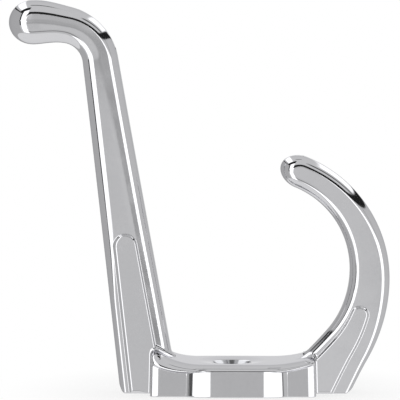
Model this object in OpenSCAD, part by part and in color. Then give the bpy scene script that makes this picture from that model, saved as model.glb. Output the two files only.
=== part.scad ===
// Hat and coat hook, one polished die casting that hangs on a single screw.
// Millimetres. The wall is the plane Y = 0, the hook stands off it towards -Y, and Z is up.
// The origin is the screw hole's axis on the wall. Both sides mirror in the plane X = 0.

/* [Base] */
// Thickness of the base off the wall, at the screw hole
base_thickness = 7.9; // [6.5:0.1:12]
// Width of the base's front, across the screw hole
base_width = 23.2; // [20:0.2:36]
// Screw hole to the upper end of the base
base_up = 20; // [17:0.1:24]
// Screw hole to the lower end of the base
base_down = 20.6; // [18:0.1:25]
// Length of the bulge on each side of the base
base_bulge_length = 22.6; // [20:0.2:24]
// Distance from the screw hole down to the bulge's middle
base_bulge_drop = 1; // [0:0.1:2]
// Length of the bulge's nearly flat middle
base_bulge_flat = 13.5; // [11:0.5:15]
// Radius of that middle, seen from the front
base_bulge_r = 220; // [120:10:400]
// Radius of the bulge's rounded ends, seen from the front
base_bulge_end_r = 16; // [13:1:24]
// How far the base's sides stand back from the bulge at both ends
base_end_recess = 1.9; // [1.6:0.1:2.6]
// Length of the step from the bulge back to those ends
base_step = 0.8; // [0.6:0.1:1.4]
// Length of the base's four rounded corners, along its sides
base_corner_l = 2.4; // [1:0.1:3]
// Width of those corners, along its ends
base_corner_w = 0.7; // [0.4:0.1:2]
// Draft of the base's sides, in degrees
base_draft = 6; // [1:0.5:10]
// Draft of the base's ends, in degrees
base_end_draft = 1.5; // [0.5:0.5:6]
// Width of the rounded shoulder along the base's sides
base_shoulder_w = 3.8; // [1:0.1:4.5]
// Drop of that shoulder from the front to the side
base_shoulder_drop = 1.5; // [0.6:0.1:2]
// Radius of the rounded front edge at the base's ends
base_end_r = 2; // [0.8:0.1:3]
// Length of the base's flat front above the screw hole
base_flat_up = 8; // [6:0.1:12]
// Length of the base's flat front below the screw hole
base_flat_down = 9.5; // [6:0.1:12]
// Radius of the hollow that sweeps up from the base to the hat arm
hat_root_r = 20; // [18:0.5:40]
// Radius of the hollow that sweeps up from the base to the coat prong
coat_root_r = 34; // [22:0.5:60]

/* [Screw hole] */
// Diameter of the hole for the screw's shank
bore_d = 5; // [3.5:0.1:6]
// Diameter of the countersink on the front of the base
countersink_d = 9.6; // [8:0.1:13]
// Full angle of the countersink
countersink_angle = 90; // [80:1:100]

// Diameter of the shallow dish round the countersink
dish_d = 15.6; // [14:0.1:17]
// Depth of that dish, at its middle
dish_depth = 0.5; // [0.2:0.05:0.8]

/* [Hat arm] */
// Height of the hat arm's centre line above the screw hole, at the wall
hat_foot_z = 20.65; // [18:0.05:26]
// Lean of the hat arm, upwards from square to the wall, in degrees
hat_lean = 8.3; // [4:0.1:14]
// Rise of the hat arm's centre line off the wall, at its highest point
hat_rise = 92.4; // [70:0.2:120]
// Radius of the bend at the end of the hat arm, on the centre line
hat_bend_r = 10.4; // [9:0.1:16]
// Turn of that bend, in degrees
hat_bend_turn = 69.5; // [50:0.5:80]
// Radius of the gentle sweep from the bend to the knob
hat_sweep_r = 33; // [24:1:50]
// Turn of the sweep, in degrees
hat_sweep_turn = 15; // [6:0.5:20]
// Width of the hat arm's side at the wall
hat_foot_w = 14.4; // [11:0.1:17]
// Width where the bend starts
hat_neck_w = 8.75; // [8:0.05:10.5]
// Width where the bend ends
hat_waist_w = 9.1; // [8:0.05:10.5]
// Width of the knob
hat_knob_w = 11; // [9.5:0.1:13]
// Length of the knob's rounded end
hat_knob_nose = 6.1; // [4.5:0.1:8]
// Thickness of the knob across the hook
hat_knob_thickness = 9.4; // [8:0.1:12]
// Edge radius along the upper edge of the hat arm
hat_upper_edge_r = 2.9; // [1:0.1:3.1]
// Edge radius along the lower edge of the hat arm
hat_lower_edge_r = 2.2; // [1:0.1:3]
// Edge radius round the knob
hat_knob_edge_r = 3.5; // [2:0.1:3.8]

/* [Coat prong] */
// Depth of the coat prong's centre line below the screw hole, at the wall
coat_foot_z = 20.4; // [18:0.05:26]
// Lean of the prong, downwards from square to the wall, in degrees
coat_lean = 35.2; // [25:0.1:42]
// Drop of the prong's centre line below the screw hole, at its lowest point
coat_drop = 34.35; // [30:0.05:42]
// Radius of the prong's lower curve, on the centre line
coat_lower_r = 31.9; // [26:0.1:40]
// Turn of the lower curve, in degrees
coat_lower_turn = 31.8; // [20:0.1:40]
// Radius of the prong's upper curve, on the centre line
coat_upper_r = 27.5; // [22:0.1:36]
// Turn of the upper curve, in degrees
coat_upper_turn = 71.1; // [45:0.1:80]
// Width of the prong's side at the wall
coat_foot_w = 16.4; // [13:0.1:19]
// Width where the lower curve starts
coat_root_w = 12.2; // [10:0.1:14]
// Width where the upper curve starts
coat_belly_w = 9.95; // [8.5:0.05:11.5]
// Width of the tip
coat_tip_w = 8.05; // [7:0.05:9.5]
// Length of the tip's rounded end
coat_tip_nose = 5.4; // [4:0.1:7]
// Edge radius along the prong
coat_edge_r = 2.3; // [1:0.1:3]
// Edge radius round the tip
coat_tip_edge_r = 2.7; // [1.5:0.1:3.2]

/* [Arms] */
// Thickness of both arms across the hook
arm_thickness = 8; // [6.8:0.1:10]
// Radius of the hat arm's outer corner at the wall
hat_foot_corner_r = 2.5; // [0.6:0.1:3]
// Radius of the coat prong's outer corner at the wall
coat_foot_corner_r = 1.6; // [0.6:0.1:3]

/* [Foot pads] */
// Height of the raised pads on the arms' side faces
pad_height = 0.45; // [0.2:0.05:1]
// Length of the hat arm's pad, along the arm from the wall
hat_pad_length = 40.2; // [20:0.5:60]
// Length of the coat prong's pad, along the prong from the wall
coat_pad_length = 25.2; // [20:0.5:34]
// Distance from the hat arm's upper edge to its pad
hat_pad_outer_margin = 2.6; // [1.4:0.1:3.2]
// Distance from the hat arm's lower edge to its pad
hat_pad_inner_margin = 3.6; // [3:0.1:4.4]
// Distance from the coat prong's inner edge to its pad
coat_pad_inner_margin = 2.4; // [1.6:0.1:3]
// Distance from the coat prong's outer edge to its pad
coat_pad_outer_margin = 4.1; // [3:0.1:4.4]
// Edge radius along the hat pad's upper edge
pad_wide_edge_r = 0.9; // [0.6:0.1:1.8]
// Edge radius of the pads' other edges
pad_edge_r = 0.4; // [0.3:0.05:0.6]

/* [Hidden] */
casting_colour = "#c8cacd";

quarter = 90;         // degrees in a quarter turn

// How finely the curves are drawn
edge_steps = 5;       // steps in a quarter round of an edge
nose_steps = 9;       // steps in a quarter round of an arm's end
turn_step = 5;        // degrees between two stations in a bend
straight_steps = 5;   // stations along a straight part
corner_steps = 6;     // steps in a corner of the base
panel_steps = 6;      // steps along a recessed end of the base's side
step_steps = 4;       // steps in the step between a recessed end and the bulge
bulge_steps = 20;     // steps along the bulge
dish_steps = 4;       // steps from the countersink's mouth to the edge of the dish
hole_fn = 96;

sink = 2;             // how far the feet are drawn behind the wall before they are cut flat
reach = 200;          // larger than the hook
overlap = 0.5;        // how far a cut runs past the face that it opens
station_gap = 0.5;    // least distance between the last two stations of an arm
// How far a foot's corner round runs past the edge, as a share of its radius
corner_overrun = 0.04;

half_arm = arm_thickness / 2;

// Points in the side plane are [height z, projection p], and a heading is measured
// from the wall's normal towards +Z. ahead() points along a heading, beside() to its +Z side.
function ahead(a) = [sin(a), cos(a)];
function beside(a) = [cos(a), -sin(a)];

// Route: a start point, a heading and a list of [length] or [radius, turn] parts.
function part_length(part) = len(part) == 1 ? part[0] : part[0] * abs(part[1]) * PI / 180;
function part_turn(part) = len(part) == 1 ? 0 : part[1];
function point_after(point, a, part, f) =
    len(part) == 1
        ? point + ahead(a) * part[0] * f
        : point + sign(part[1]) * part[0] * (beside(a) - beside(a + part[1] * f));
// Where each part of a route starts, as [point, heading, length so far]
function route_starts(point, a, parts, s = 0, i = 0) =
    i == len(parts)
        ? [[point, a, s]]
        : concat([[point, a, s]],
            route_starts(point_after(point, a, parts[i], 1), a + part_turn(parts[i]), parts,
                s + part_length(parts[i]), i + 1));
function part_at(starts, s, i = 0) =
    i >= len(starts) - 2 || s < starts[i + 1][2] ? i : part_at(starts, s, i + 1);
// Point and heading at length s along a route
function route_at(starts, parts, s) =
    let (i = part_at(starts, s),
         f = (s - starts[i][2]) / part_length(parts[i]))
    [point_after(starts[i][0], starts[i][1], parts[i], f), starts[i][1] + part_turn(parts[i]) * f];

// Smooth curve through values[i] at knots[i], level at its end
function slope(knots, values, i) =
    i == 0 ? (values[1] - values[0]) / (knots[1] - knots[0])
    : i == len(knots) - 1 ? 0
    : (values[i + 1] - values[i - 1]) / (knots[i + 1] - knots[i - 1]);
function interval(knots, s, i = 0) =
    i >= len(knots) - 2 || s < knots[i + 1] ? i : interval(knots, s, i + 1);
function smooth_value(knots, values, s) =
    let (i = interval(knots, s),
         d = knots[i + 1] - knots[i],
         t = min(1, (s - knots[i]) / d))
    t < 0
        ? values[0] + slope(knots, values, 0) * (s - knots[0])
        : (2 * pow(t, 3) - 3 * pow(t, 2) + 1) * values[i]
            + (pow(t, 3) - 2 * pow(t, 2) + t) * d * slope(knots, values, i)
            + (3 * pow(t, 2) - 2 * pow(t, 3)) * values[i + 1]
            + (pow(t, 3) - pow(t, 2)) * d * slope(knots, values, i + 1);
function ramp(from, to, t) = from + (to - from) * max(0, min(1, t));

// Lengths along a route at which its stations stand, from behind the wall to the end
function station_lengths(starts, parts, end) =
    concat([-sink],
        [for (i = [0 : len(parts) - 1])
            let (steps = len(parts[i]) == 1
                ? straight_steps
                : ceil(abs(parts[i][1]) / turn_step))
            for (k = [0 : steps - 1])
                let (s = starts[i][2] + part_length(parts[i]) * k / steps)
                if (s < end - station_gap) s],
        [end]);

// A station is [point, heading, reach to the +Z side, reach to the -Z side,
// edge radius on the +Z side, edge radius on the -Z side, half thickness].
function side_point(st, side) = st[0] + side * beside(st[1]) * (side > 0 ? st[2] : st[3]);
// Station's rounded end: its points at angle t, from the side's edge at 0 to the nose at 90
function nose_point(st, nose, side, t) =
    let (middle = st[0] + beside(st[1]) * (st[2] - st[3]) / 2,
         half = (st[2] + st[3]) / 2)
    middle + side * beside(st[1]) * half * cos(t) + ahead(st[1]) * nose * sin(t);
// Outline as [point, edge radius, half thickness], up the +Z side, round the nose and back
function blade_outline(stations, nose) =
    let (n = len(stations), last = stations[n - 1], tip_r = (last[4] + last[5]) / 2)
    concat(
        [for (st = stations) [side_point(st, 1), st[4], st[6]]],
        [for (k = [1 : nose_steps - 1])
            let (t = quarter * k / nose_steps)
            [nose_point(last, nose, 1, t), ramp(last[4], tip_r, t / quarter), last[6]]],
        [[nose_point(last, nose, 1, quarter), tip_r, last[6]]],
        [for (k = [nose_steps - 1 : -1 : 1])
            let (t = quarter * k / nose_steps)
            [nose_point(last, nose, -1, t), ramp(last[5], tip_r, t / quarter), last[6]]],
        [for (i = [n - 1 : -1 : 0]) [side_point(stations[i], -1), stations[i][5], stations[i][6]]]);
function outward(outline, i) =
    let (a = outline[max(0, i - 1)][0],
         b = outline[min(len(outline) - 1, i + 1)][0],
         d = (b - a) / norm(b - a))
    [d[1], -d[0]];

// One quarter round on each side of an edge, as [distance in from the outline, X]
function edge_profile(r, half) =
    concat(
        [for (k = [edge_steps : -1 : 0])
            let (t = quarter * k / edge_steps) [r * (1 - cos(t)), half - r + r * sin(t)]],
        [for (k = [0 : edge_steps])
            let (t = quarter * k / edge_steps) [r * (1 - cos(t)), -(half - r + r * sin(t))]]);

// A flat-sided blade that follows its stations and has rounded edges all the way round
module blade(stations, nose) {
    outline = blade_outline(stations, nose);
    j_end = len(outline) - 1;
    middle = j_end / 2;
    m = 2 * (edge_steps + 1);
    points = [for (j = [0 : j_end])
        let (out = outward(outline, j))
        for (e = edge_profile(outline[j][1], outline[j][2]))
            let (q = outline[j][0] - out * e[0]) [e[1], -q[1], q[0]]];
    skin = [for (j = [0 : j_end - 1], k = [0 : m - 2])
        let (a = j * m + k, b = a + m)
        each [[a, b, b + 1], [a, b + 1, a + 1]]];
    near_side = [for (j = [0 : middle - 2])
        let (a = j * m, b = a + m, c = (j_end - j - 1) * m, d = c + m)
        each [[a, c, b], [a, d, c]]];
    far_side = [for (j = [0 : middle - 2])
        let (a = j * m + m - 1, b = a + m, c = (j_end - j) * m - 1, d = c + m)
        each [[a, b, c], [a, c, d]]];
    noses = [[(middle - 1) * m, (middle + 1) * m, middle * m],
        [middle * m - 1, (middle + 1) * m - 1, (middle + 2) * m - 1]];
    foot = [for (k = [0 : m - 2])
        let (a = k, c = j_end * m + k)
        each [[a, a + 1, c + 1], [a, c + 1, c]]];
    polyhedron(points = points, faces = concat(skin, near_side, far_side, noses, foot));
}

// Hat arm. Its straight part makes up what the bend and the sweep leave of the rise.
hat_bend_heading = min(quarter, hat_lean + hat_bend_turn);
hat_top_heading = min(quarter, hat_lean + hat_bend_turn + hat_sweep_turn);
hat_bend_rise = hat_bend_r * (sin(hat_bend_heading) - sin(hat_lean));
hat_sweep_rise = hat_sweep_r * (sin(hat_top_heading) - sin(hat_bend_heading));
hat_straight = (hat_rise - hat_bend_rise - hat_sweep_rise) / cos(hat_lean);
hat_parts = [[hat_straight], [hat_bend_r, hat_bend_turn], [hat_sweep_r, hat_sweep_turn]];
hat_starts = route_starts([hat_foot_z, 0], hat_lean, hat_parts);
hat_knots = [for (start = hat_starts) start[2]];
hat_half_widths = [hat_foot_w, hat_neck_w, hat_waist_w, hat_knob_w] / 2;
hat_end = hat_knots[3];
function hat_half(s) = smooth_value(hat_knots, hat_half_widths, s);
function knob_share(s) = let (t = max(0, (s - hat_knots[1]) / (hat_end - hat_knots[1]))) t * t;
function hat_station(s) =
    let (at = route_at(hat_starts, hat_parts, s), k = knob_share(s))
    [at[0], at[1], hat_half(s), hat_half(s),
        ramp(hat_upper_edge_r, hat_knob_edge_r, k), ramp(hat_lower_edge_r, hat_knob_edge_r, k),
        ramp(half_arm, hat_knob_thickness / 2, k)];

// Coat prong. Its straight foot makes up what the curves leave of the drop.
coat_low_heading = min(0, coat_lower_turn - coat_lean);
coat_lower_drop = coat_lower_r * (cos(coat_low_heading) - cos(coat_lean));
coat_upper_drop = coat_upper_r * (1 - cos(coat_low_heading));
coat_straight = (coat_drop - coat_foot_z - coat_lower_drop - coat_upper_drop) / sin(coat_lean);
coat_parts = [[coat_straight], [coat_lower_r, coat_lower_turn], [coat_upper_r, coat_upper_turn]];
coat_starts = route_starts([-coat_foot_z, 0], -coat_lean, coat_parts);
coat_knots = [for (start = coat_starts) start[2]];
coat_half_widths = [coat_foot_w, coat_root_w, coat_belly_w, coat_tip_w] / 2;
coat_end = coat_knots[3];
function coat_half(s) = smooth_value(coat_knots, coat_half_widths, s);
function coat_station(s) =
    let (at = route_at(coat_starts, coat_parts, s),
         r = ramp(coat_edge_r, coat_tip_edge_r, (s - coat_knots[2]) / (coat_end - coat_knots[2])))
    [at[0], at[1], coat_half(s), coat_half(s), r, r, half_arm];

// Raised pads on the feet: the arm's own station, drawn in by the margins and thicker
function pad_station(st, upper_margin, lower_margin, upper_r, lower_r) =
    [st[0], st[1], st[2] - upper_margin, st[3] - lower_margin, upper_r, lower_r,
        half_arm + pad_height];
function hat_pad_station(s) =
    pad_station(hat_station(s), hat_pad_outer_margin, hat_pad_inner_margin, pad_wide_edge_r,
        pad_edge_r);
function coat_pad_station(s) =
    pad_station(coat_station(s), coat_pad_inner_margin, coat_pad_outer_margin, pad_edge_r, pad_edge_r);
function pad_nose(st) = (st[2] + st[3]) / 2;
hat_pad_nose = pad_nose(hat_pad_station(hat_pad_length));
coat_pad_nose = pad_nose(coat_pad_station(coat_pad_length));

// How much a rounded flank of radius r falls away over a run
function round_fall(r, run) = r - sqrt(r * r - pow(max(0, run), 2));

// Base, seen from the front. Its side stands at base_half(z) from the middle plane: the bulge,
// then a smooth step back to the recessed ends.
bulge_inner = (base_bulge_length - base_step) / 2;
bulge_outer = (base_bulge_length + base_step) / 2;
function bulge_fall(run) =
    pow(min(run, base_bulge_flat / 2), 2) / (2 * base_bulge_r)
        + round_fall(base_bulge_end_r, min(run, bulge_outer) - base_bulge_flat / 2);
function base_half(z) =
    let (run = abs(z + base_bulge_drop),
         t = max(0, min(1, (run - bulge_inner) / base_step)))
    base_width / 2 - ramp(bulge_fall(run), base_end_recess, t * t * (3 - 2 * t));
// Heights of the side's points between its low and high corners
function side_heights(low, high) =
    let (m = -base_bulge_drop)
    concat(
        [for (k = [1 : panel_steps - 1]) ramp(low, m - bulge_outer, k / panel_steps)],
        [for (k = [0 : step_steps]) ramp(m - bulge_outer, m - bulge_inner, k / step_steps)],
        [for (k = [1 : bulge_steps - 1]) ramp(m - bulge_inner, m + bulge_inner, k / bulge_steps)],
        [for (k = [0 : step_steps]) ramp(m + bulge_inner, m + bulge_outer, k / step_steps)],
        [for (k = [1 : panel_steps - 1]) ramp(m + bulge_outer, high, k / panel_steps)]);
// Corner point at angle t, from the end at 0 to the side at 90, on the side of `way`
function corner_point(z, in, way, t) =
    [base_half(z) - in - base_corner_w * (1 - sin(t)), z + way * base_corner_l * cos(t),
        pow(cos(t), 2)];
// The outline is drawn in by `in` along the sides and by `end_in` at the ends, as
// [across x, height z, share], where share is 1 at an end and 0 on a side.
function base_outline(in, end_in) =
    let (low = base_corner_l + end_in - base_down,
         high = base_up - base_corner_l - end_in,
         side = concat(
             [for (k = [0 : corner_steps]) corner_point(low, in, -1, quarter * k / corner_steps)],
             [for (z = side_heights(low, high)) [base_half(z) - in, z, 0]],
             [for (k = [corner_steps : -1 : 0]) corner_point(high, in, 1, quarter * k / corner_steps)]))
    concat(side, [for (k = [len(side) - 1 : -1 : 0]) [-side[k][0], side[k][1], side[k][2]]]);
// Projection of the base's front at height z: flat by the screw hole, swept up to both arms
function base_front(z) =
    base_thickness + round_fall(hat_root_r, z - base_flat_up)
        + round_fall(coat_root_r, -z - base_flat_down);

module base() {
    rim = base_outline(0, 0);
    n = len(rim);
    front = [for (q = rim) base_front(q[1])];
    drop = [for (q = rim) ramp(base_shoulder_drop, base_end_r, q[2])];
    // the rounded shoulder starts level with the drafted side
    start = atan(base_shoulder_drop / base_shoulder_w * tan(base_draft));
    foot = [for (k = [0 : n - 1])
        let (depth = front[k] - drop[k] + sink,
             q = base_outline(-depth * tan(base_draft), -depth * tan(base_end_draft))[k])
        [q[0], sink, q[1]]];
    shoulder = [for (i = [0 : edge_steps])
        let (t = ramp(start, quarter, i / edge_steps),
             ring = base_outline(base_shoulder_w * (1 - cos(t)), base_end_r * (1 - cos(t))))
        each [for (k = [0 : n - 1]) [ring[k][0], drop[k] * (1 - sin(t)) - front[k], ring[k][1]]]];
    top = edge_steps + 1;
    walls = [for (i = [0 : top - 1], k = [0 : n - 1])
        let (a = i * n + k, b = i * n + (k + 1) % n)
        each [[a, b + n, b], [a, a + n, b + n]]];
    lid = [for (k = [0 : n / 2 - 2])
        let (a = top * n + k, c = top * n + n - 1 - k)
        each [[a, c, a + 1], [c, c - 1, a + 1]]];
    polyhedron(points = concat(foot, shoulder), faces = concat([[for (k = [0 : n - 1]) k]], walls, lid));
}

module hat_arm() {
    blade([for (s = station_lengths(hat_starts, hat_parts, hat_end)) hat_station(s)], hat_knob_nose);
}

module coat_prong() {
    blade([for (s = station_lengths(coat_starts, coat_parts, coat_end)) coat_station(s)],
        coat_tip_nose);
}

module hat_pad() {
    end = hat_pad_length - hat_pad_nose;
    blade([for (s = station_lengths(hat_starts, hat_parts, end)) hat_pad_station(s)], hat_pad_nose);
}

module coat_pad() {
    end = coat_pad_length - coat_pad_nose;
    blade([for (s = station_lengths(coat_starts, coat_parts, end)) coat_pad_station(s)],
        coat_pad_nose);
}

// Foot corner in the side view: a round from the wall to the arm's outer edge, which it
// crosses a little beyond, so that it cuts the edge cleanly
function foot_corner(a, b, side, r) =
    let (lean = side * atan2(b[0] - a[0], b[1] - a[1]),
         at_wall = a[0] + (b[0] - a[0]) * -a[1] / (b[1] - a[1]),
         z = at_wall - side * (r / tan((quarter + lean) / 2) - r * corner_overrun))
    [for (k = [0 : corner_steps])
        let (t = ramp(2 * quarter, quarter + lean, k / corner_steps))
        [z + side * r * sin(t), r + r * cos(t)]];

// Everything in front of the wall, with the outer corners of both feet rounded
module front_of_wall() {
    upper = foot_corner(side_point(hat_station(0), 1), side_point(hat_station(sink), 1), 1,
        hat_foot_corner_r);
    lower = foot_corner(side_point(coat_station(0), -1), side_point(coat_station(sink), -1), -1,
        coat_foot_corner_r);
    outline = concat(
        upper,
        [[reach, upper[corner_steps][1]], [reach, reach], [-reach, reach],
            [-reach, lower[corner_steps][1]]],
        [for (k = [corner_steps : -1 : 0]) lower[k]]);
    rotate([90, 0, 90])
        linear_extrude(height = reach, center = true)
            polygon([for (q = outline) [-q[1], q[0]]]);
}

// Depth of the dish at a distance r from the screw hole's axis
dish_r = (pow(dish_d / 2, 2) + pow(dish_depth, 2)) / (2 * dish_depth);
function dish_at(r) = sqrt(dish_r * dish_r - r * r) - (dish_r - dish_depth);

// Bore, countersink and dish, as one turned shape
module screw_hole() {
    mouth = countersink_d / 2;
    mouth_height = base_thickness - dish_at(mouth);
    cone_depth = (countersink_d - bore_d) / 2 / tan(countersink_angle / 2);
    rotate([90, 0, 0])
        rotate_extrude($fn = hole_fn)
            polygon(concat(
                [[0, -overlap], [bore_d / 2, -overlap], [bore_d / 2, mouth_height - cone_depth]],
                [for (k = [0 : dish_steps])
                    let (r = ramp(mouth, dish_d / 2, k / dish_steps)) [r, base_thickness - dish_at(r)]],
                [[dish_d / 2, base_thickness + overlap], [0, base_thickness + overlap]]));
}

module hook_casting() {
    color(casting_colour)
        difference() {
            intersection() {
                union() {
                    base();
                    hat_arm();
                    coat_prong();
                    hat_pad();
                    coat_pad();
                }
                front_of_wall();
            }
            screw_hole();
        }
}

hook_casting();
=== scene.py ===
"""A hat and coat hook in polished chrome, lying on its mounting face in a white studio.

The hook is one die casting, in the frame of its CAD model: the wall is the plane Y = 0, the hook
stands off it towards -Y, Z is up the wall, and the origin is the screw hole's axis on the wall.
Sizes are in millimetres, with x across the hook, z up the wall and p out from it, until the
finished skin is turned to Blender's metres.

The casting is described by the distance from any point to its surface, built up from the base, the
two arms, their raised pads and the screw hole. That gives it the soft fillets that a mould leaves.
The skin is then drawn over the surface as a mesh.
"""
from __future__ import annotations

import itertools
import logging
import math
from dataclasses import dataclass, field
from enum import Enum
from typing import Any, Callable, Mapping, Sequence

import bpy
import numpy as np
from mathutils import Matrix, Vector


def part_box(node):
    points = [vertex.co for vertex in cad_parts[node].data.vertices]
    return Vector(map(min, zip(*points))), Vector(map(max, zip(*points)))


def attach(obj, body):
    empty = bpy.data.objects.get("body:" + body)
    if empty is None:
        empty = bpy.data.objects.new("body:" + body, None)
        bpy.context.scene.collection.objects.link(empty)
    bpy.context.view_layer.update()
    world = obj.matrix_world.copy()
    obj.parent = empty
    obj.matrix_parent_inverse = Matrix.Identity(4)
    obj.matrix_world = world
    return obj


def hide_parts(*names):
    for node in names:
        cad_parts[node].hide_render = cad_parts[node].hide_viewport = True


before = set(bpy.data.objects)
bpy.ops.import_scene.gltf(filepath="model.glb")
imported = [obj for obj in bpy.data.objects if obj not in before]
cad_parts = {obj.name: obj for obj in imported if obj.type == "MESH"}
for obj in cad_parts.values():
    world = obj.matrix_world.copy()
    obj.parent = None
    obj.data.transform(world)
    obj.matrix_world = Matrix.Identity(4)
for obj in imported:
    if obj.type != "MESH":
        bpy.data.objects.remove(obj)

log = logging.getLogger("hook")

Array = np.ndarray
Distance = Callable[[Array, Array, Array], Array]

MM = 0.001
TINY = 1e-9
# how near to its end, in mm, a point beside a centre line counts as beyond it
NEAR_END = 1e-6


class Side(Enum):
    """The two edges of an arm, seen from the side, by the sign of the height towards them."""

    UPPER = 1
    LOWER = -1


# ---- distance helpers


def ramp(low: Any, high: Any, share: Any) -> Any:
    """Straight change from low to high as share goes from 0 to 1, held at both ends."""
    return low + (high - low) * np.clip(share, 0.0, 1.0)


def ease(low: float, high: Any, value: Any) -> Any:
    """Smooth change from 0 at low to 1 at high."""
    share = np.clip((value - low) / (high - low), 0.0, 1.0)
    return share * share * (3.0 - 2.0 * share)


def rounded_overlap(a: Any, b: Any, radius: Any) -> Any:
    """Distance to what two shapes share, with the edge between them rounded.

    Args:
        a, b: Distances to the shapes, below 0 inside them.
        radius: Radius of the edge, which may differ from point to point.

    Returns:
        The distance to the rounded overlap.
    """
    inner = np.minimum(np.maximum(a, b), -radius)
    return inner + np.hypot(np.maximum(a + radius, 0.0), np.maximum(b + radius, 0.0))


def oval_overlap(a: Any, b: Any, width: Any, drop: Any) -> Any:
    """Overlap of two shapes whose edge is a quarter of an oval.

    Args:
        a, b: Distances to the side and to the front.
        width: How far the oval reaches in from the side.
        drop: How far it reaches down from the front.

    Returns:
        The distance to the overlap, near enough for a mesh to settle on it.
    """
    u, v = np.maximum(a + width, 0.0) / width, np.maximum(b + drop, 0.0) / drop
    near = np.hypot(u, v)
    slope = np.hypot(u / width, v / drop)
    return np.where(near > TINY, near * (near - 1.0) / np.maximum(slope, TINY), np.maximum(a, b))


def filleted_union(a: Any, b: Any, radius: float) -> Any:
    """Distance to both shapes together, with a fillet of a radius where they meet."""
    return -rounded_overlap(-a, -b, radius)


def oval_end(run: Any, across: Any, half: Any, nose: float) -> Any:
    """Distance to an oval end, near enough for a mesh to settle on it.

    Args:
        run, across: The points, along the oval's nose and across it, from its middle.
        half: Half the oval's width.
        nose: How far it reaches from its middle.

    Returns:
        The distance, below 0 inside.
    """
    near = np.hypot(run / nose, across / half)
    slope = np.hypot(run / nose**2, across / half**2)
    return near * (near - 1.0) / np.maximum(slope, TINY)


# ---- centre lines


def ahead(heading: Any) -> Array:
    """Unit vector (z, p) along a heading, which is measured from the wall's normal upwards."""
    return np.array([np.sin(heading), np.cos(heading)])


def beside(heading: Any) -> Array:
    """Unit vector (z, p) square to a heading, towards its upper side."""
    return np.array([np.cos(heading), -np.sin(heading)])


def seen_from(point: Array, heading: float, z: Array, p: Array) -> tuple[Array, Array]:
    """Turns points to how far and how high they lie from another point.

    Args:
        point: The point to see them from.
        heading: The heading to look along.
        z, p: The points.

    Returns:
        Their runs along the heading, and their heights square to it.
    """
    off_z, off_p = z - point[0], p - point[1]
    fore, side = ahead(heading), beside(heading)
    return off_z * fore[0] + off_p * fore[1], off_z * side[0] + off_p * side[1]


@dataclass(frozen=True)
class Leg:
    """One part of a centre line: a straight, or an arc when it turns.

    The length is the straight's, the radius and the turn in degrees are the arc's.
    """

    length: float = 0.0
    radius: float = 0.0
    turn: float = 0.0

    def run(self) -> float:
        """Length along the leg."""
        return self.radius * math.radians(abs(self.turn)) if self.turn else self.length


@dataclass(frozen=True)
class Place:
    """Where points lie by a centre line: length along it, height above it and run beyond it."""

    along: Array
    height: Array
    beyond: Array


@dataclass
class CentreLine:
    """A line of straights and arcs in the hook's side view.

    Args:
        start_z: Height at which it leaves the wall.
        lean: Heading at the wall, in degrees.
        legs: Its parts, in order.
    """

    start_z: float
    lean: float
    legs: Sequence[Leg]

    def __post_init__(self) -> None:
        """Works out where each leg starts."""
        point, heading, along = np.array([self.start_z, 0.0]), math.radians(self.lean), 0.0
        self.starts: list[tuple[Leg, Array, float, float]] = []
        for leg in self.legs:
            self.starts.append((leg, point, heading, along))
            if leg.turn:
                turn = math.radians(leg.turn)
                swing = math.copysign(leg.radius, turn)
                point = point + swing * (beside(heading) - beside(heading + turn))
                heading += turn
            else:
                point = point + leg.length * ahead(heading)
            along += leg.run()
        self.end, self.end_heading, self.length = point, heading, along
        self.knots = np.array([start[3] for start in self.starts] + [along])

    def nearest(self, z: Array, p: Array) -> Place:
        """Finds the nearest point of the line for each given point.

        Args:
            z, p: The points' heights and distances from the wall.

        Returns:
            The points' places by the line. The first leg runs on behind the wall.
        """
        gap = np.full(np.shape(z), np.inf)
        along, height = np.zeros(np.shape(z)), np.zeros(np.shape(z))
        for number, (leg, point, heading, start) in enumerate(self.starts):
            if leg.turn:
                sign = math.copysign(1.0, leg.turn)
                swing = sign * leg.radius
                centre = point + swing * beside(heading)
                out_z, out_p = z - centre[0], p - centre[1]
                swept = sign * ((np.arctan2(sign * out_p, -sign * out_z) - heading + math.pi)
                                % (2.0 * math.pi) - math.pi)
                swept = np.clip(swept, 0.0, math.radians(abs(leg.turn)))
                at = swing * beside(heading + sign * swept)
                leg_along = leg.radius * swept
                leg_height = sign * (leg.radius - np.hypot(out_z, out_p))
                leg_gap = np.hypot(out_z + at[0], out_p + at[1])
            else:
                reach, leg_height = seen_from(point, heading, z, p)
                leg_along = np.clip(reach, -np.inf if number == 0 else 0.0, leg.length)
                leg_gap = np.hypot(reach - leg_along, leg_height)
            take = leg_gap < gap - TINY
            gap = np.where(take, leg_gap, gap)
            along = np.where(take, start + leg_along, along)
            height = np.where(take, leg_height, height)
        run, across = seen_from(self.end, self.end_heading, z, p)
        past = (along > self.length - NEAR_END) & (run > 0.0)
        return Place(along, np.where(past, across, height), np.where(past, run, 0.0))

    def eased(self, values: Sequence[float], along: Array) -> Array:
        """Smooth value along the line, through one given value at each joint of its legs.

        Args:
            values: The value at the start of each leg and at the end.
            along: Lengths along the line.

        Returns:
            The value at each length, level at the end.
        """
        knots, given = self.knots, np.asarray(values, float)
        slopes = np.zeros(len(knots))
        slopes[0] = (given[1] - given[0]) / (knots[1] - knots[0])
        slopes[1:-1] = (given[2:] - given[:-2]) / (knots[2:] - knots[:-2])
        i = np.clip(np.searchsorted(knots, along, side="right") - 1, 0, len(knots) - 2)
        width = knots[i + 1] - knots[i]
        t = np.minimum((along - knots[i]) / width, 1.0)
        curve = ((2 * t**3 - 3 * t**2 + 1) * given[i] + (t**3 - 2 * t**2 + t) * width * slopes[i]
                 + (3 * t**2 - 2 * t**3) * given[i + 1] + (t**3 - t**2) * width * slopes[i + 1])
        return np.where(t < 0.0, given[0] + slopes[0] * (along - knots[0]), curve)


# ---- parts of the casting


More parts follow.
